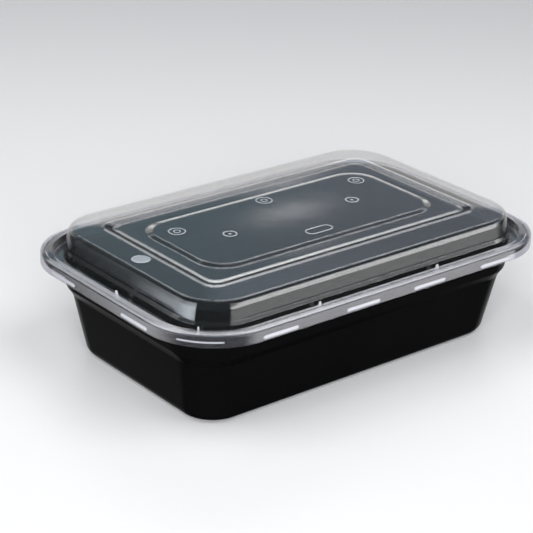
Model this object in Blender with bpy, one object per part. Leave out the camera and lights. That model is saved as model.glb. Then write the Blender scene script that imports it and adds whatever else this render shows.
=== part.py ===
"""Takeaway meal container: a black polypropylene tray with a clear lid pressed on its rim.

Metres, +Z up. The origin is the middle of the tray's underside, and X runs along the long side.
Both pieces are thin shells made by one rule: a profile is drawn once, from the middle outwards,
and carried round a rounded rectangle. A point of a profile gives how far inside the lid's
outer edge it lies, which is its inset, and how high it is, both in millimetres.
"""
import math

import bmesh
import bpy

MM = 0.001

# Outside of the lid's skirt, the widest outline of the container
LENGTH = 224.0
WIDTH = 148.0
CORNER_STEPS = 9

# Steps of the fillets in the profiles
FINE = 2
ROUND = 3
BROAD = 5

# Tray
TRAY_THICKNESS = 0.7
TRAY_FLOOR_INSET = 40.0
TRAY_BASE_INSET = 21.55
TRAY_BASE_FILLET = 5.2
TRAY_STEP_LOW_INSET = 16.0
TRAY_STEP_LOW_Z = 31.9
TRAY_STEP_LOW_FILLET = 1.2
TRAY_STEP_HIGH_INSET = 11.9
TRAY_STEP_HIGH_Z = 36.6
TRAY_STEP_HIGH_FILLET = 2.6
TRAY_LEDGE_INSET = 10.6
TRAY_LEDGE_Z = 49.0
TRAY_LEDGE_RISE = 0.1
TRAY_LEDGE_FILLET = 0.9
TRAY_RIM_INNER_INSET = 5.0
TRAY_RIM_OUTER_INSET = 1.6
TRAY_RIM_DRAFT = 0.2
TRAY_RIM_FILLET = 0.8
TRAY_RIM_TOP_Z = 53.1
TRAY_LIP_Z = 50.9

# Lid, with heights above the underside of its flange
LID_THICKNESS = 0.5
LID_SEAT_GAP = 0.3
PANEL_MIDDLE_INSET = 52.0
PANEL_EDGE_INSET = 45.0
PANEL_FOOT_INSET = 42.2
PANEL_RISE = 1.2
PANEL_FILLET = 1.0
GROOVE_INNER_INSET = 34.8
GROOVE_INNER_SLOPE = 1.8
GROOVE_OUTER_INSET = 30.3
GROOVE_OUTER_SLOPE = 1.1
GROOVE_DEPTH = 1.0
GROOVE_FILLET = 0.6
DOME_HEIGHT = 10.9
DOME_SHOULDER = 2.7
DOME_TOP_INSET = 14.6
DOME_FOOT_INSET = 13.0
CHANNEL_DEPTH = 3.5
CHANNEL_FILLET = 0.8
FLANGE_INNER_INSET = 6.1
FLANGE_DRAFT = 0.7
FLANGE_STEP_INSET = 2.9
FLANGE_STEP_RUN = 0.5
FLANGE_STEP_RISE = 0.3
FLANGE_STEP_FILLET = 0.5
SKIRT_FILLET = 1.0
SKIRT_DRAFT = 0.1
SKIRT_DROP = 4.9

# Corner radius in plan against inset
TRAY_CORNERS = ((0.0, 35.8), (5.0, 30.8), (11.5, 23.5), (16.0, 17.8), (21.2, 16.5), (26.0, 12.8))
LID_CORNERS = ((0.0, 35.8), (17.0, 19.5), (30.3, 9.0), (34.8, 7.0), (42.2, 15.0), (45.0, 13.0))


def corner_radius(table, inset):
    """Read the plan's corner radius at an inset from a table of straight stretches."""
    if inset <= table[0][0]:
        return table[0][1] - inset
    for (inset_a, radius_a), (inset_b, radius_b) in zip(table, table[1:]):
        if inset <= inset_b:
            share = (inset - inset_a) / (inset_b - inset_a)
            return radius_a + (radius_b - radius_a) * share
    return table[-1][1]


def unit(x, z):
    """Scale a direction in the profile's plane to length one."""
    size = math.hypot(x, z)
    return x / size, z / size


def arc_points(before, corner, after):
    """Points of the arc that rounds one corner of a polyline."""
    x, z, radius, steps = corner
    ax, az = unit(before[0] - x, before[1] - z)
    bx, bz = unit(after[0] - x, after[1] - z)
    half_angle = math.acos(max(-1.0, min(1.0, ax * bx + az * bz))) / 2.0
    middle = unit(ax + bx, az + bz)
    reach = radius / math.sin(half_angle)
    centre = (x + middle[0] * reach, z + middle[1] * reach)
    run = radius / math.tan(half_angle)
    start = math.atan2(z + az * run - centre[1], x + ax * run - centre[0])
    end = math.atan2(z + bz * run - centre[1], x + bx * run - centre[0])
    sweep = (end - start + math.pi) % (2.0 * math.pi) - math.pi
    angles = [start + sweep * step / steps for step in range(steps + 1)]
    return [(centre[0] + radius * math.cos(a), centre[1] + radius * math.sin(a)) for a in angles]


def fillet(first, corners, last):
    """Round a polyline's corners, each given as (inset, height, fillet radius, fillet steps)."""
    stops = [first, *corners, last]
    points = [first]
    for before, corner, after in zip(stops, corners, stops[2:]):
        points.extend(arc_points(before, corner, after))
    points.append(last)
    return points


def offset(points, distance):
    """Move a profile sideways, upwards where it runs level, keeping its corners true."""
    normals = []
    for (xa, za), (xb, zb) in zip(points, points[1:]):
        dx, dz = unit(xb - xa, zb - za)
        normals.append((dz, -dx))
    normals = [normals[0]] + normals + [normals[-1]]
    moved = []
    for (x, z), first, second in zip(points, normals, normals[1:]):
        nx, nz = unit(first[0] + second[0], first[1] + second[1])
        stretch = distance / (nx * first[0] + nz * first[1])
        moved.append((x + nx * stretch, z + nz * stretch))
    return moved


def ring(inset, z, radius):
    """Points of a rounded rectangle, anticlockwise seen from above."""
    half_x = LENGTH / 2.0 - inset
    half_y = WIDTH / 2.0 - inset
    points = []
    for quarter, (side_x, side_y) in enumerate(((1, 1), (-1, 1), (-1, -1), (1, -1))):
        centre_x = side_x * (half_x - radius)
        centre_y = side_y * (half_y - radius)
        for step in range(CORNER_STEPS + 1):
            angle = math.radians(90.0 * (quarter + step / CORNER_STEPS))
            x = centre_x + radius * math.cos(angle)
            y = centre_y + radius * math.sin(angle)
            points.append((x * MM, y * MM, z * MM))
    return points


def shell_mesh(name, middle_line, thickness, corner_table):
    """Carry a wall of even thickness round the rounded rectangle as one closed body."""
    upper = offset(middle_line, thickness / 2.0)
    lower = offset(middle_line, -thickness / 2.0)
    mesh = bpy.data.meshes.new(name)
    bm = bmesh.new()
    loops = []
    for inset, z in upper + lower[::-1]:
        radius = corner_radius(corner_table, inset)
        loops.append([bm.verts.new(point) for point in ring(inset, z, radius)])
    count = len(loops[0])
    for inner, outer in zip(loops, loops[1:]):
        for i in range(count):
            j = (i + 1) % count
            bm.faces.new((inner[i], outer[i], outer[j], inner[j]))
    bm.faces.new(loops[0])
    bm.faces.new(loops[-1][::-1])
    bm.to_mesh(mesh)
    bm.free()
    mesh.shade_smooth()
    mesh.set_sharp_from_angle(angle=math.radians(40.0))
    return mesh


def tray_profile():
    """The tray from the middle of its floor, up the wall, over the ledge and round the rim."""
    floor_z = TRAY_THICKNESS / 2.0
    rim_z = TRAY_RIM_TOP_Z - TRAY_THICKNESS / 2.0
    rim_foot_z = TRAY_LEDGE_Z + TRAY_LEDGE_RISE
    corners = (
        (TRAY_BASE_INSET, floor_z, TRAY_BASE_FILLET, BROAD),
        (TRAY_STEP_LOW_INSET, TRAY_STEP_LOW_Z, TRAY_STEP_LOW_FILLET, FINE),
        (TRAY_STEP_HIGH_INSET, TRAY_STEP_HIGH_Z, TRAY_STEP_HIGH_FILLET, ROUND),
        (TRAY_LEDGE_INSET, TRAY_LEDGE_Z, TRAY_LEDGE_FILLET, ROUND),
        (TRAY_RIM_INNER_INSET, rim_foot_z, TRAY_LEDGE_FILLET, ROUND),
        (TRAY_RIM_INNER_INSET - TRAY_RIM_DRAFT, rim_z, TRAY_RIM_FILLET, ROUND),
        (TRAY_RIM_OUTER_INSET, rim_z, TRAY_RIM_FILLET, ROUND),
    )
    lip = (TRAY_RIM_OUTER_INSET - TRAY_RIM_DRAFT, TRAY_LIP_Z)
    return fillet((TRAY_FLOOR_INSET, floor_z), corners, lip)


def lid_profile():
    """The lid from the middle of its raised panel out to the bottom of its skirt."""
    half = LID_THICKNESS / 2.0
    top = DOME_HEIGHT - half
    panel = top + PANEL_RISE
    groove = top - GROOVE_DEPTH
    channel = half - CHANNEL_DEPTH
    edge = half + FLANGE_STEP_RISE
    corners = (
        (PANEL_EDGE_INSET, panel, PANEL_FILLET, FINE),
        (PANEL_FOOT_INSET, top, PANEL_FILLET, FINE),
        (GROOVE_INNER_INSET, top, GROOVE_FILLET, FINE),
        (GROOVE_INNER_INSET - GROOVE_INNER_SLOPE, groove, GROOVE_FILLET, FINE),
        (GROOVE_OUTER_INSET + GROOVE_OUTER_SLOPE, groove, GROOVE_FILLET, FINE),
        (GROOVE_OUTER_INSET, top, GROOVE_FILLET, FINE),
        (DOME_TOP_INSET, top, DOME_SHOULDER, BROAD),
        (DOME_FOOT_INSET, channel, CHANNEL_FILLET, ROUND),
        (FLANGE_INNER_INSET + FLANGE_DRAFT, channel, CHANNEL_FILLET, ROUND),
        (FLANGE_INNER_INSET, half, CHANNEL_FILLET, ROUND),
        (FLANGE_STEP_INSET, half, FLANGE_STEP_FILLET, FINE),
        (FLANGE_STEP_INSET - FLANGE_STEP_RUN, edge, FLANGE_STEP_FILLET, FINE),
        (half + SKIRT_DRAFT, edge, SKIRT_FILLET, ROUND),
    )
    return fillet((PANEL_MIDDLE_INSET, panel), corners, (half, -SKIRT_DROP))


def material(name, colour, roughness, alpha=1.0):
    """A plain plastic with the piece's colour and gloss."""
    made = bpy.data.materials.new(name)
    made.use_nodes = True
    shader = made.node_tree.nodes["Principled BSDF"]
    shader.inputs["Base Color"].default_value = (*colour, 1.0)
    shader.inputs["Roughness"].default_value = roughness
    shader.inputs["Metallic"].default_value = 0.0
    shader.inputs["Alpha"].default_value = alpha
    made.diffuse_color = (*colour, alpha)
    return made


def place(name, mesh, surface, z=0.0):
    """Give a mesh its material and stand it on the container's axis."""
    mesh.materials.append(surface)
    placed = bpy.data.objects.new(name, mesh)
    placed.location = (0.0, 0.0, z * MM)
    bpy.context.scene.collection.objects.link(placed)


def main():
    for old in list(bpy.data.objects):
        bpy.data.objects.remove(old)
    black = material("black_polypropylene", (0.012, 0.012, 0.013), 0.32)
    clear = material("clear_polypropylene", (0.86, 0.89, 0.90), 0.12, alpha=0.3)
    place("tray", shell_mesh("tray", tray_profile(), TRAY_THICKNESS, TRAY_CORNERS), black)
    lid = shell_mesh("lid", lid_profile(), LID_THICKNESS, LID_CORNERS)
    place("lid", lid, clear, TRAY_RIM_TOP_Z + LID_SEAT_GAP)


main()
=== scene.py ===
# %% [markdown]
# # A takeaway meal container
#
# The real object is a black polypropylene tray with a clear lid pressed on its rim, standing
# empty on a pale studio floor. Both are thin sheets formed over a mould, so both are made here
# by one idea: the outline of a rounded rectangle is extruded and reshaped, ring by ring, along
# a profile, until it has grown into a skin.
#
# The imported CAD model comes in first. It fixes every size, and each finer piece below takes
# the place of the CAD solid that it stands for.

# %% Load the frame
import math

import bmesh
import bpy
from mathutils import Matrix, Vector


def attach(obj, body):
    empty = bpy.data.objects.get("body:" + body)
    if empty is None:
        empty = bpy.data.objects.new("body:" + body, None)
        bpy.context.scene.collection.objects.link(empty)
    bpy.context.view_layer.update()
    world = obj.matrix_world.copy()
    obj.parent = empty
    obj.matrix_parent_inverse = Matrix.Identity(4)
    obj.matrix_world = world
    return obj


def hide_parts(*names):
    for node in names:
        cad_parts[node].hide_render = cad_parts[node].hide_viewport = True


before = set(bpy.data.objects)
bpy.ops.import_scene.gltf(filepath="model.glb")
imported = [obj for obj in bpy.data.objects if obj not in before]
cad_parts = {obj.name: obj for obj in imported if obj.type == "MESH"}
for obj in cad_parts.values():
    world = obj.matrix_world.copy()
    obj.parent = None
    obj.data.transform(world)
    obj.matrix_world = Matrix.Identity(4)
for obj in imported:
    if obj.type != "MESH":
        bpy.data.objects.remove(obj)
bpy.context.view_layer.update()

# %% [markdown]
# ## The camera
#
# The view was found by fitting a camera to the lid's edge, the skirt and the tray's base line.
# It could be aimed with a tracking constraint, but a fitted camera also rolls a little, so its
# right and up directions are written straight into its matrix.

# %% Place the camera
CAMERA_PLACE = Vector((-0.52636, -0.62715, 0.39369))
CAMERA_RIGHT = Vector((0.78098925, -0.62409716, 0.02363332))
CAMERA_UP = Vector((0.23173864, 0.32471978, 0.91698106))
CAMERA_LENS = 123.41
SENSOR_WIDTH = 36.0


def stand_camera():
    """Put the camera where the fit found it, looking down its own minus Z."""
    data = bpy.data.cameras.new("studio_camera")
    data.lens = CAMERA_LENS
    data.sensor_width = SENSOR_WIDTH
    data.clip_start = 0.05
    data.clip_end = 30.0
    camera = bpy.data.objects.new("studio_camera", data)
    bpy.context.scene.collection.objects.link(camera)
    back = CAMERA_RIGHT.cross(CAMERA_UP)
    turn = Matrix((CAMERA_RIGHT, CAMERA_UP, back)).transposed()
    camera.matrix_world = Matrix.Translation(CAMERA_PLACE) @ turn.to_4x4()
    bpy.context.scene.camera = camera
    return camera


camera = stand_camera()
print("camera looks along", tuple(round(value, 3) for value in -camera.matrix_world.col[2].xyz))

# %% [markdown]
# ## A short way to write materials
#
# A shader could be wired node by node, but its maths is easier to read as Python. The class
# below holds one output of a node. Sums and products of it add Math nodes, and one method adds
# any other node: its kind, its settings, and then the values or links of its sockets.

# %% Wrap a shader socket
class Wire:
    """One output of a shader node."""

    def __init__(self, tree, socket=None):
        self.tree = tree
        self.socket = socket

    def add(self, kind, settings=None, sockets=None, output=0):
        """Add a node, set it, then fill its sockets with values or links."""
        node = self.tree.nodes.new(kind)
        for name, value in (settings or {}).items():
            setattr(node, name, value)
        for name, value in (sockets or {}).items():
            if isinstance(value, Wire):
                self.tree.links.new(value.socket, node.inputs[name])
            else:
                node.inputs[name].default_value = value
        return Wire(self.tree, node.outputs[output]) if node.outputs else node

    def math(self, operation, first, second=0.0):
        return self.add("ShaderNodeMath", {"operation": operation}, {0: first, 1: second})

    def __add__(self, other):
        return self.math("ADD", self, other)

    def __radd__(self, other):
        return self.math("ADD", other, self)

    def __sub__(self, other):
        return self.math("SUBTRACT", self, other)

    def __rsub__(self, other):
        return self.math("SUBTRACT", other, self)

    def __mul__(self, other):
        return self.math("MULTIPLY", self, other)

    def __rmul__(self, other):
        return self.math("MULTIPLY", other, self)

    def __truediv__(self, other):
        return self.math("DIVIDE", self, other)

    def __pow__(self, other):
        return self.math("POWER", self, other)


def start_material(name):
    """A new material with an empty tree, and the wire that adds its nodes."""
    made = bpy.data.materials.new(name)
    made.use_nodes = True
    made.node_tree.nodes.clear()
    return made, Wire(made.node_tree)


def span(wire, value, low, high, out_low, out_high):
    """Carry a value smoothly from one range to another."""
    return wire.add(
        "ShaderNodeMapRange",
        {"interpolation_type": "SMOOTHSTEP"},
        {"Value": value, "From Min": low, "From Max": high, "To Min": out_low, "To Max": out_high},
    )


print("shader maths ready")

# %% [markdown]
# ## The floor and the light
#
# The studio has a pale sheet, darkened away from the camera by painted shade, and soft light from above.
# Clear plastic shows little more than what it reflects, so the soft boxes matter as much as the
# lid's shape. They could be hung as lamps, but each face of the lid mirrors one known direction,
# so it is simpler to paint the boxes on the sky by direction. Three lamps that stay out of the
# reflections then light the floor, which the painted sky leaves alone.

# %% Lay the floor
FLOOR_SIZE = 9.0
FLOOR_DROP = 0.0002
FLOOR_ROUGHNESS = 0.35
FLOOR_SPECULAR = 0.08
# The near tone is the sheet's own; the far tone is painted shade for the lamps' fall-off
NEAR_TONE = (0.85, 0.85, 0.86, 1.0)
FAR_PAINTED_SHADE = (0.70, 0.70, 0.72, 1.0)
# The way that leads away from the camera, and how far along it the painted shade grows, in metres
AWAY = (0.632, 0.775)
FALLOFF_START = 0.25
FALLOFF_END = 0.8


def lay_floor():
    """A wide pale sheet just under the tray."""
    bpy.ops.object.select_all(action="DESELECT")
    bpy.ops.mesh.primitive_plane_add(size=FLOOR_SIZE, location=(0.0, 0.0, -FLOOR_DROP))
    floor = bpy.context.object
    floor.name = "studio_floor"
    bpy.ops.object.transform_apply(location=True, rotation=True, scale=True)
    made, wire = start_material("studio_sheet")
    place = wire.add("ShaderNodeTexCoord", output=3)
    x = wire.add("ShaderNodeSeparateXYZ", sockets={0: place})
    y = Wire(x.tree, x.socket.node.outputs[1])
    # Painted shade: the sheet's colour darkens away from the camera, standing in for the light's
    # fall-off
    painted_falloff = span(wire, x * AWAY[0] + y * AWAY[1], FALLOFF_START, FALLOFF_END, 0.0, 1.0)
    tone = wire.add(
        "ShaderNodeMix",
        {"data_type": "RGBA"},
        {0: painted_falloff, 6: NEAR_TONE, 7: FAR_PAINTED_SHADE},
        output=2,
    )
    sheet = wire.add(
        "ShaderNodeBsdfPrincipled",
        sockets={
            "Base Color": tone,
            "Roughness": FLOOR_ROUGHNESS,
            "Specular IOR Level": FLOOR_SPECULAR,
        },
    )
    wire.add("ShaderNodeOutputMaterial", sockets={0: sheet})
    floor.data.materials.append(made)
    floor.visible_glossy = False
    return floor


floor = lay_floor()
print("floor", tuple(floor.dimensions))

# %% Hang the lamps
LID_MIDDLE = Vector((0.0, 0.0, 0.06))
LAMP_COLOUR = (0.985, 0.99, 1.0)
SIDE_SIZE = (1.2, 1.2)
SIDE_GLOW = 2.95
FRONT_SIZE = (2.4, 1.0)
FRONT_GLOW = 11.0


def hang_lamp(name, place, size, glow):
    """A soft lamp that faces the lid, with its width and height and the glow of its face."""
    data = bpy.data.lights.new(name, "AREA")
    data.shape = "RECTANGLE"
    data.size = size[0]
    data.size_y = size[1]
    data.energy = glow * math.pi * size[0] * size[1]
    data.color = LAMP_COLOUR
    lamp = bpy.data.objects.new(name, data)
    bpy.context.scene.collection.objects.link(lamp)
    lamp.location = place
    lamp.rotation_euler = (LID_MIDDLE - Vector(place)).to_track_quat("-Z", "Y").to_euler()
    lamp.visible_glossy = False


hang_lamp("left_fill", (-0.88, 0.19, 1.44), SIDE_SIZE, SIDE_GLOW)
hang_lamp("right_fill", (0.34, -0.84, 1.44), SIDE_SIZE, SIDE_GLOW)
hang_lamp("front_fill", (-1.68, -1.99, 1.2), FRONT_SIZE, FRONT_GLOW)

# %% Read a direction of the sky
VIEW_AZIMUTH = math.radians(50.0)


def read_sky(wire):
    """The turn away from the view and the rise over the horizon of a direction, in degrees."""
    way = wire.add("ShaderNodeTexCoord", output=0)
    x = wire.add("ShaderNodeSeparateXYZ", sockets={0: way})
    y = Wire(x.tree, x.socket.node.outputs[1])
    z = Wire(x.tree, x.socket.node.outputs[2])
    ahead = x * math.cos(VIEW_AZIMUTH) + y * math.sin(VIEW_AZIMUTH)
    aside = y * math.cos(VIEW_AZIMUTH) - x * math.sin(VIEW_AZIMUTH)
    turn = wire.math("ARCTAN2", aside, ahead) * math.degrees(1.0)
    rise = wire.math("ARCSINE", z) * math.degrees(1.0)
    return turn, rise


def window(wire, value, stops):
    """Zero outside the first and last of four stops, one between the middle two, soft between."""
    start, full, fading, end = stops
    return span(wire, value, start, full, 0.0, 1.0) * span(wire, value, fading, end, 1.0, 0.0)


def light_up(wire, sky, share, colour, glow):
    """Add one light to the sky, by its share of each direction."""
    box = wire.add(
        "ShaderNodeMix",
        {"data_type": "RGBA"},
        {0: share, 6: (0.0, 0.0, 0.0, 1.0), 7: (*[part * glow for part in colour], 1.0)},
        output=2,
    )
    return wire.add(
        "ShaderNodeMix",
        {"data_type": "RGBA", "blend_type": "ADD", "clamp_result": False},
        {0: 1.0, 6: sky, 7: box},
        output=2,
    )


print("the view looks towards", round(math.degrees(VIEW_AZIMUTH)), "degrees from the long axis")

# %% Paint the backdrop
SLATE = (0.60, 0.82, 0.95)
MAUVE = (0.78, 0.82, 0.98)
PEARL = (1.0, 0.99, 0.98)
DARK = (0.010, 0.011, 0.014, 1.0)
# Stops of a window on turn or rise are in degrees: where it starts, is full, fades and ends
AHEAD = (-80.0, -45.0, 45.0, 80.0)
HAZE_GLOW = 0.47
HIGH_HAZE_GLOW = 0.22
BACKDROP_GLOW = 0.85
SIDE_SKY_GLOW = 0.10
# The backdrop's upper edge climbs on both sides of this turn, by this much for each degree
EDGE_TURN = -2.0
EDGE_CLIMB = 0.25


def paint_backdrop(wire, sky, turn, rise):
    """Ahead, a pale backdrop below a slate and mauve haze, and a dim sky on the other sides."""
    ahead = window(wire, turn, AHEAD)
    climb = wire.math("ABSOLUTE", turn - EDGE_TURN) * EDGE_CLIMB
    haze = ahead * span(wire, rise - climb, 18.4, 19.6, 0.0, 1.0)
    blue = span(wire, turn, -3.0, 4.0, 0.3, 1.0)
    sky = light_up(wire, sky, haze * blue, SLATE, HAZE_GLOW)
    sky = light_up(wire, sky, haze * (1.0 - blue), MAUVE, HAZE_GLOW)
    high = span(wire, rise, 23.0, 26.0, 0.0, 1.0) * span(wire, turn, 1.5, 4.0, 1.0, 0.0)
    sky = light_up(wire, sky, haze * high, MAUVE, HIGH_HAZE_GLOW)
    foot = span(wire, rise, 4.0, 7.0, 0.0, 1.0)
    backdrop = ahead * foot * span(wire, rise - climb, 18.8, 19.8, 1.0, 0.0)
    sky = light_up(wire, sky, backdrop, PEARL, BACKDROP_GLOW)
    above = span(wire, rise, -1.0, 4.0, 0.0, 1.0)
    return light_up(wire, sky, above * (1.0 - ahead), SLATE, SIDE_SKY_GLOW)


print("the backdrop's foot glows", BACKDROP_GLOW, "and the haze above it", HAZE_GLOW)

# %% Paint the soft boxes
WHITE = (1.0, 1.0, 1.0)
RIGHT = (-147.0, -140.0, -96.0, -62.0)
TABLE = (-30.0, -28.0, -20.0, -17.0)
# Each plain box: its window on the turn, its window on the rise, and its glow
PLAIN_BOXES = (
    # Ahead: the backdrop's bright foot and the floor before it
    (AHEAD, (1.0, 4.0, 9.0, 14.0), 0.9),
    ((-70.0, -45.0, 45.0, 70.0), (-52.0, -38.0, -8.0, -4.0), 0.50),
    # The right side: a dim box, a bright strip and a dimmer box, from the top
    (RIGHT, (11.0, 14.0, 27.0, 31.0), 1.3),
    (RIGHT, (1.5, 4.5, 11.0, 14.0), 6.0),
    (RIGHT, (-20.0, -17.0, 1.5, 4.5), 1.7),
    # The lit table on the right and on the left, and a faint box high on the left
    ((-136.0, -104.0, -88.0, -78.0), TABLE, 3.2),
    ((70.0, 78.0, 90.0, 142.0), TABLE, 2.6),
    ((77.0, 88.0, 95.0, 105.0), (-5.0, 6.0, 20.0, 26.0), 0.9),
)
BACK_TURNS = (-22.0, -17.0, 18.0, 23.0)
BACK_RISES = (27.5, 30.5, 42.0, 46.0)
BACK_GLOW = 5.4


def paint_plain_boxes(wire, sky, turn, rise):
    """The even boxes, and one high behind the object that grows brighter upwards."""
    for turns, rises, glow in PLAIN_BOXES:
        sky = light_up(wire, sky, window(wire, turn, turns) * window(wire, rise, rises), WHITE, glow)
    back = window(wire, turn, BACK_TURNS) * window(wire, rise, BACK_RISES)
    return light_up(wire, sky, back * span(wire, rise, 33.0, 39.0, 0.4, 1.0), WHITE, BACK_GLOW)


print("the sky has", len(PLAIN_BOXES), "plain boxes")

# %% Paint the left box and the glare
COOL = (0.84, 0.93, 1.0)
ROSE = (1.0, 0.95, 0.96)
LEFT_TURNS = (76.0, 80.0, 138.0, 141.0)
LEFT_RISES = (-22.0, -17.0, -6.0, 16.0)
LEFT_GLOW = 6.4
# The box rises along a slanting line, by this much for each degree past this turn
SLANT_TURN = 80.0
SLANT = 0.2
# Seen in the short wall, lines across the wall lie on curves that bend about this rise
BEND_RISE = 1.3
BEND = 0.0082
GLARE_TURN = 0.05
GLARE_RISE = 21.72
GLARE_SLANT = 0.19
GLARE_WIDTH = 1.25
GLARE_HEIGHT = 0.20
GLARE_GLOW = 1.1


def paint_left_box(wire, sky, turn, rise):
    """A box that grows brighter along the lid's short wall and round its corner, and ends there."""
    off_bend = rise - BEND_RISE
    along_wall = turn + off_bend * off_bend * BEND
    growth = span(wire, along_wall, 81.0, 83.2, 0.05, 0.5) + span(wire, turn, 86.0, 125.0, 0.0, 0.5)
    slanted = rise - (turn - SLANT_TURN) * SLANT
    share = window(wire, turn, LEFT_TURNS) * growth * window(wire, slanted, LEFT_RISES)
    return light_up(wire, sky, share, COOL, LEFT_GLOW)


def paint_glare(wire, sky, turn, rise):
    """A small far lamp, whose soft glare lies slanting on the panel."""
    across = (turn - GLARE_TURN) / GLARE_WIDTH
    along = (rise - GLARE_RISE - turn * GLARE_SLANT) / GLARE_HEIGHT
    share = wire.math("POWER", math.e, (across * across + along * along) * -1.0)
    return light_up(wire, sky, share, ROSE, GLARE_GLOW)


def paint_studio():
    """Paint the whole sky, which shows in reflections only and lights no dull surface."""
    world = bpy.data.worlds.new("studio")
    bpy.context.scene.world = world
    world.use_nodes = True
    world.node_tree.nodes.clear()
    world.cycles_visibility.diffuse = False
    wire = Wire(world.node_tree)
    turn, rise = read_sky(wire)
    sky = DARK
    for paint in (paint_backdrop, paint_plain_boxes, paint_left_box, paint_glare):
        sky = paint(wire, sky, turn, rise)
    lit = wire.add("ShaderNodeBackground", sockets={"Color": sky, "Strength": 1.0})
    wire.add("ShaderNodeOutputWorld", sockets={0: lit})
    return len(world.node_tree.nodes)


print("the sky has", paint_studio(), "nodes")
bpy.context.scene.view_settings.view_transform = "Standard"

# %% [markdown]
# ## A skin grown from one outline
#
# A profile says how far inside the lid's outer edge each ring of the skin lies and how high it
# is. The first ring is a plane with its four corners bevelled round. Its outline is extruded to
# the height of the next ring and scaled until its corners have the next radius. Then its right
# half is pulled right, its left half left, and so on, until it has the next length and width.
# Bridging separate rings would be shorter, but rings that lie at one height come out twisted,
# and plain scaling would turn the corners oval.

# %% Round a profile
MM = 0.001
LENGTH = 224.0
WIDTH = 148.0


def unit(x, z):
    """Scale a direction to length one."""
    size = math.hypot(x, z)
    return x / size, z / size


def round_corner(before, corner, after):
    """Points of the arc that rounds one corner of a profile."""
    x, z, radius, steps = corner
    ax, az = unit(before[0] - x, before[1] - z)
    bx, bz = unit(after[0] - x, after[1] - z)
    half_angle = math.acos(max(-1.0, min(1.0, ax * bx + az * bz))) / 2.0
    middle = unit(ax + bx, az + bz)
    reach = radius / math.sin(half_angle)
    centre = (x + middle[0] * reach, z + middle[1] * reach)
    run = radius / math.tan(half_angle)
    start = math.atan2(z + az * run - centre[1], x + ax * run - centre[0])
    end = math.atan2(z + bz * run - centre[1], x + bx * run - centre[0])
    sweep = (end - start + math.pi) % (2.0 * math.pi) - math.pi
    angles = [start + sweep * step / steps for step in range(steps + 1)]
    return [(centre[0] + radius * math.cos(a), centre[1] + radius * math.sin(a)) for a in angles]


def round_profile(first, corners, last):
    """Round each corner (inset, height, fillet radius, fillet steps) between two end points."""
    stops = [first, *corners, last]
    points = [first]
    for before, corner, after in zip(stops, corners, stops[2:]):
        points.extend(round_corner(before, corner, after))
    points.append(last)
    return points


def read_table(table, inset):
    """Read a value at an inset from a table of straight stretches, level beyond its last one."""
    for (inset_a, value_a), (inset_b, value_b) in zip(table, table[1:]):
        if inset <= inset_b:
            share = (inset - inset_a) / (inset_b - inset_a)
            return value_a + (value_b - value_a) * share
    return table[-1][1]


print("profiles are in millimetres, inwards from an edge of", LENGTH, "by", WIDTH)

# %% Grow a skin
CORNER_SEGMENTS = 18
MERGE_DISTANCE = 0.00001
HALVES = ((0, 1.0), (0, -1.0), (1, 1.0), (1, -1.0))


def open_edit(piece):
    """Open one piece in edit mode with nothing selected."""
    bpy.ops.object.select_all(action="DESELECT")
    piece.select_set(True)
    bpy.context.view_layer.objects.active = piece
    bpy.ops.object.mode_set(mode="EDIT")
    bpy.ops.mesh.select_all(action="DESELECT")


def lay_ring(inset, z, radius):
    """The first outline: a plane with four round corners and no face."""
    bpy.ops.object.select_all(action="DESELECT")
    bpy.ops.mesh.primitive_plane_add(size=1.0, location=(0.0, 0.0, z * MM))
    ring = bpy.context.object
    ring.scale = ((LENGTH - 2.0 * inset) * MM, (WIDTH - 2.0 * inset) * MM, 1.0)
    bpy.ops.object.transform_apply(location=True, rotation=True, scale=True)
    open_edit(ring)
    bpy.ops.mesh.select_all(action="SELECT")
    bpy.ops.mesh.bevel(
        offset_type="OFFSET",
        offset=radius * MM,
        segments=CORNER_SEGMENTS,
        affect="VERTICES",
        clamp_overlap=False,
    )
    bpy.ops.mesh.select_all(action="SELECT")
    bpy.ops.mesh.delete(type="ONLY_FACE")
    return ring


def pull_halves(ring, reach_x, reach_y):
    """Pull the selected outline's four halves outwards, or inwards where a reach is negative."""
    mesh = bmesh.from_edit_mesh(ring.data)
    points = [point for point in mesh.verts if point.select]
    lines = [line for line in mesh.edges if line.select]
    for axis, way in HALVES:
        for point in points:
            point.select = point.co[axis] * way > 0.0
        mesh.select_flush_mode()
        pull = (reach_x * way, 0.0, 0.0) if axis == 0 else (0.0, reach_y * way, 0.0)
        bpy.ops.transform.translate(value=pull)
    for line in lines:
        line.select = True


def half_sides(inset, widening):
    """Half the length and half the width of the outline at an inset."""
    half_width = WIDTH / 2.0 - inset
    if widening:
        half_width = half_width + read_table(widening, inset)
    return LENGTH / 2.0 - inset, half_width


def grow_skin(name, profile, corners, widening=None):
    """Grow a closed skin: extrude an outline to each point of a profile and fill both ends."""
    inset, z = profile[0]
    radius = read_table(corners, inset)
    skin = lay_ring(inset, z, radius)
    skin.name = name
    bpy.ops.mesh.select_all(action="SELECT")
    bpy.ops.mesh.edge_face_add()
    bpy.ops.mesh.region_to_loop()
    for next_inset, next_z in profile[1:]:
        next_radius = read_table(corners, next_inset)
        growth = next_radius / radius
        bpy.ops.mesh.extrude_edges_move(TRANSFORM_OT_translate={"value": (0.0, 0.0, (next_z - z) * MM)})
        bpy.ops.transform.resize(value=(growth, growth, 1.0), center_override=(0.0, 0.0, 0.0))
        half_x, half_y = half_sides(inset, widening)
        next_x, next_y = half_sides(next_inset, widening)
        pull_halves(skin, (next_x - growth * half_x) * MM, (next_y - growth * half_y) * MM)
        inset, z, radius = next_inset, next_z, next_radius
    bpy.ops.mesh.edge_face_add()
    bpy.ops.mesh.select_all(action="SELECT")
    bpy.ops.mesh.normals_make_consistent(inside=False)
    bpy.ops.object.mode_set(mode="OBJECT")
    return skin


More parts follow.
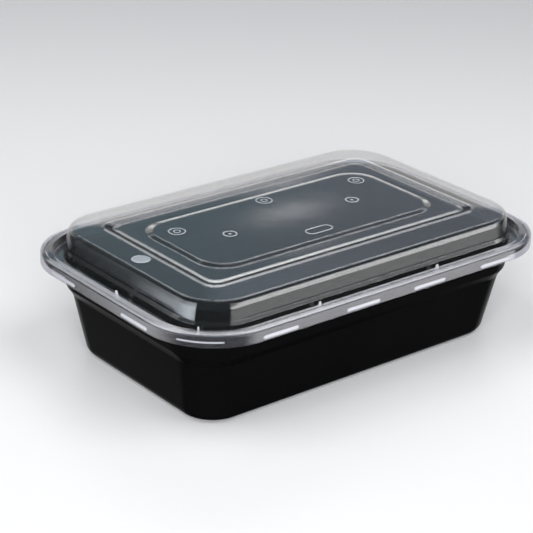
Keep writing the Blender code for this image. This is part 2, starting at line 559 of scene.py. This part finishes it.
def move_aside(points, distance):
    """Move a profile sideways, upwards where it runs level, keeping its corners true."""
    normals = []
    for (xa, za), (xb, zb) in zip(points, points[1:]):
        dx, dz = unit(xb - xa, zb - za)
        normals.append((dz, -dx))
    normals = [normals[0]] + normals + [normals[-1]]
    moved = []
    for (x, z), first, second in zip(points, normals, normals[1:]):
        nx, nz = unit(first[0] + second[0], first[1] + second[1])
        stretch = distance / (nx * first[0] + nz * first[1])
        moved.append((x + nx * stretch, z + nz * stretch))
    return moved


def both_sides(middle_line, thickness):
    """The profile of a closed wall: out along its top side and back along its underside."""
    upper = move_aside(middle_line, thickness / 2.0)
    lower = move_aside(middle_line, -thickness / 2.0)
    return upper + lower[::-1]


def smooth_over(piece, angle):
    """Smooth the small turns, and let the large faces keep their own normals."""
    bpy.ops.object.select_all(action="DESELECT")
    piece.select_set(True)
    bpy.context.view_layer.objects.active = piece
    bpy.ops.object.shade_smooth_by_angle(angle=math.radians(angle))
    bpy.ops.object.modifier_add(type="WEIGHTED_NORMAL")
    piece.modifiers[-1].keep_sharp = True
    bpy.ops.object.modifier_apply(modifier=piece.modifiers[-1].name)


print("corners turn in", CORNER_SEGMENTS, "segments")

# %% [markdown]
# ## The tray's plastic
#
# Black polypropylene comes off a polished mould with a satin skin: nearly no colour, a soft
# broad shine and a very fine grain. An image could carry the grain, but noise on the object's
# own coordinates has no seams and stays sharp at any distance.

# %% Mix the black plastic
DEEPER_BLACK = (0.0026, 0.0027, 0.0029, 1.0)
PALER_BLACK = (0.0042, 0.0042, 0.0044, 1.0)
BLACK_ROUGHNESS = 0.20
BLACK_SPECULAR = 0.06
CLOUD_SCALE = 22.0
CLOUD_ROUGHNESS = 0.06
GRAIN_SCALE = 1400.0
GRAIN_STRENGTH = 0.12
GRAIN_DEPTH = 0.0002


def mix_black_plastic():
    """Satin black, with a slightly uneven tone, gloss and skin."""
    made, wire = start_material("black_polypropylene")
    place = wire.add("ShaderNodeTexCoord", output=3)
    clouds = wire.add(
        "ShaderNodeTexNoise",
        sockets={"Vector": place, "Scale": CLOUD_SCALE, "Detail": 3.0},
    )
    grain = wire.add(
        "ShaderNodeTexNoise",
        sockets={"Vector": place, "Scale": GRAIN_SCALE, "Detail": 2.0},
    )
    tone = wire.add(
        "ShaderNodeMix",
        {"data_type": "RGBA"},
        {0: clouds, 6: DEEPER_BLACK, 7: PALER_BLACK},
        output=2,
    )
    skin = wire.add(
        "ShaderNodeBump",
        sockets={"Height": grain, "Strength": GRAIN_STRENGTH, "Distance": GRAIN_DEPTH},
    )
    plastic = wire.add(
        "ShaderNodeBsdfPrincipled",
        sockets={
            "Base Color": tone,
            "Roughness": BLACK_ROUGHNESS + clouds * CLOUD_ROUGHNESS,
            "Specular IOR Level": BLACK_SPECULAR,
            "Normal": skin,
        },
    )
    wire.add("ShaderNodeOutputMaterial", sockets={0: plastic})
    return made


black_plastic = mix_black_plastic()
print("black plastic has", len(black_plastic.node_tree.nodes), "nodes")

# %% [markdown]
# ## The tray
#
# A flat floor turns up into tapered walls, which step outwards near the top, so that the food
# has a fill line. Above it the wall runs up to a narrow ledge, and an upright edge on the ledge
# carries the rim that the lid snaps over. The mould gives every turn a small radius.

# %% Model the tray
SMOOTH_ANGLE = 40.0
TRAY_WALL = 0.7
TRAY_FLOOR_Z = TRAY_WALL / 2.0
TRAY_RIM_Z = 53.1 - TRAY_WALL / 2.0
TRAY_MIDDLE = (40.0, TRAY_FLOOR_Z)
TRAY_LIP = (1.4, 50.9)
# The plan's corner radius at some insets
TRAY_CORNERS = ((0.0, 35.8), (5.0, 30.8), (11.5, 23.5), (16.0, 17.8), (21.2, 16.5), (26.0, 12.8))
# The corners of the wall's middle line: inset, height, fillet radius and fillet steps
TRAY_TURNS = (
    (21.55, TRAY_FLOOR_Z, 5.2, 8),  # the floor's edge
    (16.0, 31.9, 1.2, 3),  # the fill line's foot
    (12.6, 36.6, 2.6, 5),  # the fill line's top
    (10.6, 49.0, 0.9, 5),  # the wall's top
    (5.0, 49.1, 0.9, 5),  # the ledge's outer edge
    (4.8, TRAY_RIM_Z, 0.8, 5),  # the rim's inner edge
    (1.6, TRAY_RIM_Z, 0.8, 5),  # the rim's outer edge
)


def model_tray():
    """The tray's skin from the middle of its floor to the lip of its rim, given its wall."""
    middle_line = round_profile(TRAY_MIDDLE, TRAY_TURNS, TRAY_LIP)
    tray = grow_skin("meal_tray", both_sides(middle_line, TRAY_WALL), TRAY_CORNERS)
    smooth_over(tray, SMOOTH_ANGLE)
    tray.data.materials.append(black_plastic)
    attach(tray, "root")
    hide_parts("tray")
    return tray


tray = model_tray()
print("tray:", len(tray.data.polygons), "faces,", tuple(round(side, 4) for side in tray.dimensions))

# %% [markdown]
# ## The lid's plastic
#
# Clear polypropylene is not quite clear: it reflects at a glance, lets most light through, and
# scatters a little of it as a grey haze. Glass would bend every ray and cost much time for a
# wall half a millimetre thick, so the sheet is mixed from three simple parts: a see-through
# one, a hazy one, and a shiny one that grows towards a glancing view. The edge is hazier than
# the dome, and the small solid details are the haziest: their pale haze is a painted highlight
# for the glints that they bend to the eye. Slopes in the groove get a darker tint instead,
# painted shade for the light that they bend aside.

# %% Mix the clear plastic
SWIRL_SCALE = 30.0
SWIRL_LEAST = 0.8
SWIRL_SPREAD = 0.4
RIPPLE_SCALE = 55.0
RIPPLE_STRENGTH = 0.03
RIPPLE_DEPTH = 0.0004
HAZE_ROUGHNESS = 0.5
GLOSS_COLOUR = (1.0, 1.0, 1.0, 1.0)


def mix_clear_plastic(name, haze_amount, haze_tone, tint, gloss_roughness, face_on, power):
    """A thin clear sheet with its haze, its tint and its shine."""
    made, wire = start_material(name)
    place = wire.add("ShaderNodeTexCoord", output=3)
    swirl = wire.add(
        "ShaderNodeTexNoise",
        sockets={"Vector": place, "Scale": SWIRL_SCALE, "Detail": 2.0},
    )
    ripple = wire.add(
        "ShaderNodeTexNoise",
        sockets={"Vector": place, "Scale": RIPPLE_SCALE, "Detail": 1.0},
    )
    skin = wire.add(
        "ShaderNodeBump",
        sockets={"Height": ripple, "Strength": RIPPLE_STRENGTH, "Distance": RIPPLE_DEPTH},
    )
    glance = wire.add("ShaderNodeLayerWeight", sockets={"Blend": 0.5}, output=1)
    shine = face_on + (glance ** power) * (1.0 - face_on)
    clear = wire.add("ShaderNodeBsdfTransparent", sockets={"Color": (*tint, 1.0)})
    haze = wire.add(
        "ShaderNodeBsdfPrincipled",
        sockets={
            "Base Color": (*haze_tone, 1.0),
            "Roughness": HAZE_ROUGHNESS,
            "Specular IOR Level": 0.0,
        },
    )
    sheet = wire.add(
        "ShaderNodeMixShader",
        sockets={0: haze_amount * (SWIRL_LEAST + swirl * SWIRL_SPREAD), 1: clear, 2: haze},
    )
    gloss = wire.add(
        "ShaderNodeBsdfGlossy",
        sockets={"Color": GLOSS_COLOUR, "Roughness": gloss_roughness, "Normal": skin},
    )
    whole = wire.add("ShaderNodeMixShader", sockets={0: shine, 1: sheet, 2: gloss})
    wire.add("ShaderNodeOutputMaterial", sockets={0: whole})
    return made


dome_plastic = mix_clear_plastic(
    "clear_polypropylene",
    haze_amount=0.008,
    haze_tone=(0.62, 0.68, 0.72),
    tint=(0.92, 0.92, 0.92),
    gloss_roughness=0.045,
    face_on=0.04,
    power=5.0,
)
edge_plastic = mix_clear_plastic(
    "clear_edge",
    haze_amount=0.03,
    haze_tone=(0.72, 0.74, 0.80),
    tint=(0.80, 0.79, 0.83),
    gloss_roughness=0.05,
    face_on=0.045,
    power=5.0,
)
# A slope that leans inwards bends light aside and hardly shines; its darker tint is painted shade
groove_shade_plastic = mix_clear_plastic(
    "clear_groove_shade",
    haze_amount=0.008,
    haze_tone=(0.62, 0.68, 0.72),
    tint=(0.62, 0.64, 0.68),
    gloss_roughness=0.05,
    face_on=0.03,
    power=20.0,
)
# Small solid bumps send far more light to the eye than the sheet round them; their pale haze paints that
# in as a painted highlight
thick_glint_plastic = mix_clear_plastic(
    "clear_thick_glint",
    haze_amount=0.80,
    haze_tone=(0.90, 0.94, 0.92),
    tint=(0.90, 0.92, 0.94),
    gloss_roughness=0.10,
    face_on=0.10,
    power=4.0,
)
mark_plastic = mix_clear_plastic(
    "clear_mark",
    haze_amount=0.36,
    haze_tone=(0.74, 0.77, 0.82),
    tint=(0.90, 0.92, 0.94),
    gloss_roughness=0.10,
    face_on=0.06,
    power=4.0,
)
print("clear plastics:", [item.name for item in bpy.data.materials if item.name.startswith("clear")])

# %% [markdown]
# ## The lid
#
# The middle of the lid is a raised panel, with a groove and a low ridge round it that take the
# foot of the next tray in a stack. Outside the ridge a plateau falls a little to the dome's
# shoulder. The dome's wall drops into a channel inside the rim, the flange lies over the rim,
# and the skirt hangs outside it. The skin is grown like the tray's.

# %% Model the lid
LID_WALL = 0.5
HALF = LID_WALL / 2.0
LID_SEAT = 53.4
LID_TOP = LID_SEAT + 10.9 - HALF
LID_CHANNEL = LID_SEAT - 3.5 + HALF
PANEL_Z = LID_TOP + 1.06
LID_MIDDLE_POINT = (52.0, PANEL_Z)
SKIRT_FOOT = (HALF, LID_SEAT - 4.9)
LID_CORNERS = ((0.0, 35.8), (17.0, 19.5), (30.3, 6.5), (34.8, 5.0), (42.2, 15.0), (45.0, 13.0))
LID_TURNS = (
    (44.6, PANEL_Z, 2.0, 4),  # the panel's edge
    (41.8, LID_TOP + 0.16, 2.0, 4),  # the panel's foot
    (35.3, LID_TOP + 0.24, 2.0, 3),  # the groove's inner edge
    (33.6, LID_TOP - 0.10, 1.0, 4),  # the groove's bottom
    (30.8, LID_TOP + 0.64, 0.9, 4),  # the ridge's top
    (29.3, LID_TOP + 0.42, 2.0, 3),  # the ridge's foot
    (15.2, LID_TOP + 0.15, 2.1, 9),  # the dome's shoulder
    (13.85, LID_TOP - 3.2, 8.0, 3),  # a slight bend in the dome's wall
    (12.9, LID_SEAT + 2.0, 0.8, 4),  # the wall's foot, where it flares out
    (12.05, LID_SEAT + 0.35, 0.6, 4),  # the flare's end, above the channel
    (11.8, LID_CHANNEL, 0.6, 4),  # the channel's inner edge
    (6.2, LID_CHANNEL, 0.8, 5),  # the channel's outer edge
    (5.75, LID_SEAT + 0.66, 0.25, 4),  # the flange, with its moulded lines
    (4.9, LID_SEAT + 0.48, 0.2, 2),
    (3.5, LID_SEAT + 0.32, 0.2, 2),
    (2.9, LID_SEAT + 0.22, 0.15, 2),
    (2.35, LID_SEAT + 0.50, 0.15, 3),
    (1.5, LID_SEAT + 0.37, 0.2, 2),
    (HALF + 0.1, LID_SEAT + 0.17, 0.45, 5),  # the top of the skirt
)
# How much further out towards the long sides the lid lies at some insets
LID_WIDENING = ((0.0, 0.0), (6.2, 0.0), (10.3, 1.5), (15.2, 2.0), (30.6, 1.2), (41.6, 0.0), (60.0, 0.0))
EDGE_RADIUS = 35.8
# The hazier plastic of the edge ends at this inset
EDGE_INSET = 6.4
# Faces between these insets that lean inwards by more than this take the groove's painted shade
SLOPE_INSETS = (28.5, 46.0)
SLOPE_LEAN = 0.1
EDGE_SLOT = 1
GROOVE_SHADE_SLOT = 2


def edge_of(place):
    """How far inside the lid's outer edge a place lies, in millimetres."""
    x = abs(place[0]) / MM - (LENGTH / 2.0 - EDGE_RADIUS)
    y = abs(place[1]) / MM - (WIDTH / 2.0 - EDGE_RADIUS)
    return EDGE_RADIUS - math.hypot(max(x, 0.0), max(y, 0.0)) - min(max(x, y), 0.0)


def leans_in(face):
    """Whether the upper side of a face leans clearly towards the middle of the lid."""
    middle, normal = face.center, face.normal
    outward = (middle.x * normal.x + middle.y * normal.y) / math.hypot(middle.x, middle.y)
    return math.copysign(outward, outward * normal.z) < -SLOPE_LEAN


def model_lid():
    """The lid's skin from the middle of its panel to the foot of its skirt, given its wall."""
    middle_line = round_profile(LID_MIDDLE_POINT, LID_TURNS, SKIRT_FOOT)
    lid = grow_skin("clear_lid", both_sides(middle_line, LID_WALL), LID_CORNERS, LID_WIDENING)
    for plastic in (dome_plastic, edge_plastic, groove_shade_plastic):
        lid.data.materials.append(plastic)
    for face in lid.data.polygons:
        inset = edge_of(face.center)
        if inset < EDGE_INSET:
            face.material_index = EDGE_SLOT
        elif SLOPE_INSETS[0] < inset < SLOPE_INSETS[1] and leans_in(face):
            face.material_index = GROOVE_SHADE_SLOT
    smooth_over(lid, SMOOTH_ANGLE)
    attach(lid, "root")
    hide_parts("lid")
    return lid


lid = model_lid()
print("lid:", len(lid.data.polygons), "faces,", tuple(round(side, 4) for side in lid.dimensions))

# %% [markdown]
# ## Beads, ribs and mould marks
#
# The skirt grips the tray by short beads near its foot, small ribs stiffen the channel, and the
# panel carries shallow marks from the mould. They could be pushed out of the lid's own mesh, but
# each is far smaller than its faces, so each kind is modelled once, copied to its places, and
# joined into one piece that lies in the sheet.

# %% Copy a detail to its places
DETAIL_SMOOTH_ANGLE = 50.0


def join_pieces(parts, name):
    """Join parts into the first one, which takes the name."""
    bpy.ops.object.select_all(action="DESELECT")
    for part in parts:
        part.select_set(True)
    bpy.context.view_layer.objects.active = parts[0]
    if len(parts) > 1:
        bpy.ops.object.join()
    parts[0].name = name
    return parts[0]


def copy_out(model, name, spots):
    """Copies of a model, each turned, moved and with a mesh of its own, joined into one piece."""
    twins = []
    for x, y, z, turn in spots:
        bpy.ops.object.select_all(action="DESELECT")
        model.select_set(True)
        bpy.context.view_layer.objects.active = model
        bpy.ops.object.duplicate(linked=False)
        twin = bpy.context.object
        twin.rotation_euler = (0.0, 0.0, math.radians(turn))
        twin.location = (x * MM, y * MM, z * MM)
        bpy.ops.object.transform_apply(location=True, rotation=True, scale=True)
        twins.append(twin)
    bpy.data.objects.remove(model)
    return join_pieces(twins, name)


def finish_detail(piece, plastic):
    """Smooth a detail of the lid, give it its plastic and let it ride."""
    smooth_over(piece, DETAIL_SMOOTH_ANGLE)
    piece.data.materials.clear()
    piece.data.materials.append(plastic)
    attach(piece, "root")
    print(piece.name, len(piece.data.polygons), "faces")


print("details are joined by kind")

# %% Model the snap beads
BEAD_LENGTH = 20.0
BEAD_RADIUS = 0.75
BEAD_STRETCH = (2.2, 0.85, 1.3)
BEAD_INSET = 0.75
BEAD_Z = LID_SEAT - 3.7
LONG_SIDE_BEADS = (-65.0, -17.0, 24.0, 67.0)
SHORT_SIDE_BEADS = (-27.0, 30.0)


def model_bead():
    """A ball stretched and pulled out to a bar with round ends."""
    bpy.ops.object.select_all(action="DESELECT")
    bpy.ops.mesh.primitive_uv_sphere_add(segments=16, ring_count=10, radius=BEAD_RADIUS * MM)
    bead = bpy.context.object
    open_edit(bead)
    bpy.ops.mesh.select_all(action="SELECT")
    bpy.ops.transform.rotate(value=math.radians(90.0), orient_axis="Y", center_override=(0.0, 0.0, 0.0))
    bpy.ops.transform.resize(value=BEAD_STRETCH, center_override=(0.0, 0.0, 0.0))
    pull_halves(bead, (BEAD_LENGTH / 2.0 - BEAD_RADIUS * BEAD_STRETCH[0]) * MM, 0.0)
    bpy.ops.object.mode_set(mode="OBJECT")
    return bead


def bead_spots():
    """Four beads on each long side and two on each short side, alike after half a turn."""
    side = WIDTH / 2.0 - BEAD_INSET
    end = LENGTH / 2.0 - BEAD_INSET
    spots = [(x, -side, BEAD_Z, 0.0) for x in LONG_SIDE_BEADS]
    spots = spots + [(-end, y, BEAD_Z, 90.0) for y in SHORT_SIDE_BEADS]
    return spots + [(-x, -y, z, turn) for x, y, z, turn in spots]


straight = copy_out(model_bead(), "snap_beads", bead_spots())

# %% Spin the corner beads
CORNER_BEAD_RADIUS = 0.42
CORNER_BEAD_INSET = 0.65
CORNER_BEAD_Z = BEAD_Z + 1.2
CORNER_BEAD_SWEEP = 34.0
CORNER_BEAD_STEPS = 12
# Where each corner bead starts: the way to its corner and a turn about that corner, in degrees
CORNER_BEADS = ((1, 1, 27.0), (-1, 1, 117.0), (-1, -1, 207.0), (1, -1, 297.0))


def spin_corner_bead(way_x, way_y, turn):
    """A thin bead round one corner: a small ring of points spun about the corner's axis."""
    x = (LENGTH / 2.0 - EDGE_RADIUS) * way_x
    y = (WIDTH / 2.0 - EDGE_RADIUS) * way_y
    reach = EDGE_RADIUS - CORNER_BEAD_INSET
    start = math.radians(turn)
    bpy.ops.object.select_all(action="DESELECT")
    bpy.ops.mesh.primitive_circle_add(vertices=10, radius=CORNER_BEAD_RADIUS * MM, fill_type="NGON")
    ring = bpy.context.object
    ring.rotation_euler = (math.radians(90.0), 0.0, start)
    start_x = x + reach * math.cos(start)
    start_y = y + reach * math.sin(start)
    ring.location = (start_x * MM, start_y * MM, CORNER_BEAD_Z * MM)
    bpy.ops.object.transform_apply(location=True, rotation=True, scale=True)
    open_edit(ring)
    bpy.ops.mesh.select_all(action="SELECT")
    bpy.ops.mesh.spin(
        steps=CORNER_BEAD_STEPS,
        angle=-math.radians(CORNER_BEAD_SWEEP),
        center=(x * MM, y * MM, 0.0),
        axis=(0.0, 0.0, 1.0),
    )
    bpy.ops.mesh.select_all(action="SELECT")
    bpy.ops.mesh.remove_doubles(threshold=MERGE_DISTANCE)
    bpy.ops.mesh.normals_make_consistent(inside=False)
    bpy.ops.object.mode_set(mode="OBJECT")
    return ring


round_ones = [spin_corner_bead(way_x, way_y, turn) for way_x, way_y, turn in CORNER_BEADS]
# The beads' and ribs' pale haze is a painted highlight for the glints they bend to the eye
finish_detail(join_pieces([straight, *round_ones], "snap_beads"), thick_glint_plastic)

# %% Model the ribs
RIB_SIZE = (1.5, 2.0, 4.4)
RIB_TOP_SHARE = (0.4, 0.45, 1.0)
RIB_BACK = 0.9
RIB_BEVEL = 0.2
# Inside the lid's channel, standing on its floor and turned towards the dome
RIB_Z = LID_CHANNEL + HALF - 0.1
RIB_SPOTS = (
    (-37.5, -66.3, RIB_Z, 180.0),
    (34.5, -66.3, RIB_Z, 180.0),
    (-104.3, -4.0, RIB_Z, 90.0),
    (-97.2, -55.8, RIB_Z, 135.0),
)


def model_rib():
    """A thin upright fin that narrows to its top, with soft edges."""
    bpy.ops.object.select_all(action="DESELECT")
    bpy.ops.mesh.primitive_cube_add(size=1.0, location=(0.0, 0.0, RIB_SIZE[2] / 2.0 * MM))
    rib = bpy.context.object
    rib.scale = [side * MM for side in RIB_SIZE]
    bpy.ops.object.transform_apply(location=True, rotation=True, scale=True)
    open_edit(rib)
    mesh = bmesh.from_edit_mesh(rib.data)
    for point in mesh.verts:
        point.select = point.co.z > RIB_SIZE[2] / 2.0 * MM
    mesh.select_flush_mode()
    bpy.ops.transform.resize(value=RIB_TOP_SHARE, center_override=(0.0, RIB_BACK * MM, 0.0))
    bpy.ops.mesh.select_all(action="SELECT")
    bpy.ops.mesh.bevel(offset=RIB_BEVEL * MM, segments=2, affect="EDGES")
    bpy.ops.object.mode_set(mode="OBJECT")
    return rib


finish_detail(copy_out(model_rib(), "channel_ribs", RIB_SPOTS), thick_glint_plastic)

# %% Spin a round mark
MARK_STEPS = 28


def spin_mark(name, profile):
    """A round mark: a line of points spun a full turn about the upright axis."""
    bpy.ops.object.select_all(action="DESELECT")
    bpy.ops.mesh.primitive_plane_add(size=MM)
    mark = bpy.context.object
    mark.name = name
    open_edit(mark)
    bpy.ops.mesh.select_all(action="SELECT")
    bpy.ops.mesh.merge(type="CENTER")
    bpy.ops.transform.translate(value=(profile[0][0] * MM, 0.0, profile[0][1] * MM))
    for (xa, za), (xb, zb) in zip(profile, profile[1:]):
        step = ((xb - xa) * MM, 0.0, (zb - za) * MM)
        bpy.ops.mesh.extrude_vertices_move(TRANSFORM_OT_translate={"value": step})
    bpy.ops.mesh.select_all(action="SELECT")
    bpy.ops.mesh.spin(steps=MARK_STEPS, angle=math.tau, center=(0.0, 0.0, 0.0), axis=(0.0, 0.0, 1.0))
    bpy.ops.mesh.select_all(action="SELECT")
    bpy.ops.mesh.remove_doubles(threshold=MERGE_DISTANCE)
    bpy.ops.mesh.normals_make_consistent(inside=False)
    bpy.ops.object.mode_set(mode="OBJECT")
    return mark


def ring_profile(reach, width, height):
    """The closed section of a low rounded ring, in millimetres."""
    half = width / 2.0
    turns = [math.radians(angle) for angle in range(0, 361, 30)]
    return [(reach + half * math.cos(turn), height * math.sin(turn)) for turn in turns]


print("round marks turn in", MARK_STEPS, "steps")

# %% Model the mould marks
PANEL_TOP = PANEL_Z + HALF
# Each ring's middle radius, width and height
DIMPLE_RING = (3.2, 0.7, 0.12)
TARGET_OUTER_RING = (4.0, 0.6, 0.12)
TARGET_INNER_RING = (1.6, 0.5, 0.12)
OVAL_RING = (3.0, 0.7, 0.10)
DIMPLE_SPOTS = ((-38.0, -1.0, PANEL_TOP, 0.0), (38.0, -1.0, PANEL_TOP, 0.0))
TARGET_SPOTS = ((-56.6, 15.8, PANEL_TOP, 0.0), (57.5, 18.2, PANEL_TOP, 0.0), (1.9, 23.4, PANEL_TOP, 0.0))
OVAL_SPOTS = ((-0.2, -21.1, PANEL_TOP, 0.0),)
OVAL_PULL = 4.4
NUB = ((0.0, 0.13), (0.35, 0.11), (0.65, 0.04), (0.8, -0.05), (0.0, -0.05))


def model_dimple():
    """A small nub in a ring."""
    ring = spin_mark("dimple_ring", ring_profile(*DIMPLE_RING))
    return join_pieces([ring, spin_mark("dimple_nub", NUB)], "panel_dimples")


def model_target():
    """A ring in a ring."""
    outer = spin_mark("mark_ring", ring_profile(*TARGET_OUTER_RING))
    inner = spin_mark("mark_inner_ring", ring_profile(*TARGET_INNER_RING))
    return join_pieces([outer, inner], "mark_target")


def model_oval():
    """A ring pulled out to a long oval."""
    oval = spin_mark("panel_marks", ring_profile(*OVAL_RING))
    open_edit(oval)
    bpy.ops.mesh.select_all(action="SELECT")
    pull_halves(oval, OVAL_PULL * MM, 0.0)
    bpy.ops.object.mode_set(mode="OBJECT")
    return oval


finish_detail(copy_out(model_dimple(), "panel_dimples", DIMPLE_SPOTS), mark_plastic)
ovals = copy_out(model_oval(), "panel_marks", OVAL_SPOTS)
targets = copy_out(model_target(), "mark_targets", TARGET_SPOTS)
finish_detail(join_pieces([ovals, targets], "panel_marks"), mark_plastic)

# %% Model the gate's disc
DISC = ((0.0, 0.07), (3.9, 0.07), (4.3, 0.05), (4.5, -0.04), (0.0, -0.04))
# The plateau leans, and lies this much above LID_TOP where the disc is
PLATEAU_RISE = 0.31
DISC_SPOTS = ((-88.3, 0.0, LID_TOP + HALF + PLATEAU_RISE, 0.0),)
finish_detail(copy_out(spin_mark("gate_disc", DISC), "gate_disc", DISC_SPOTS), mark_plastic)
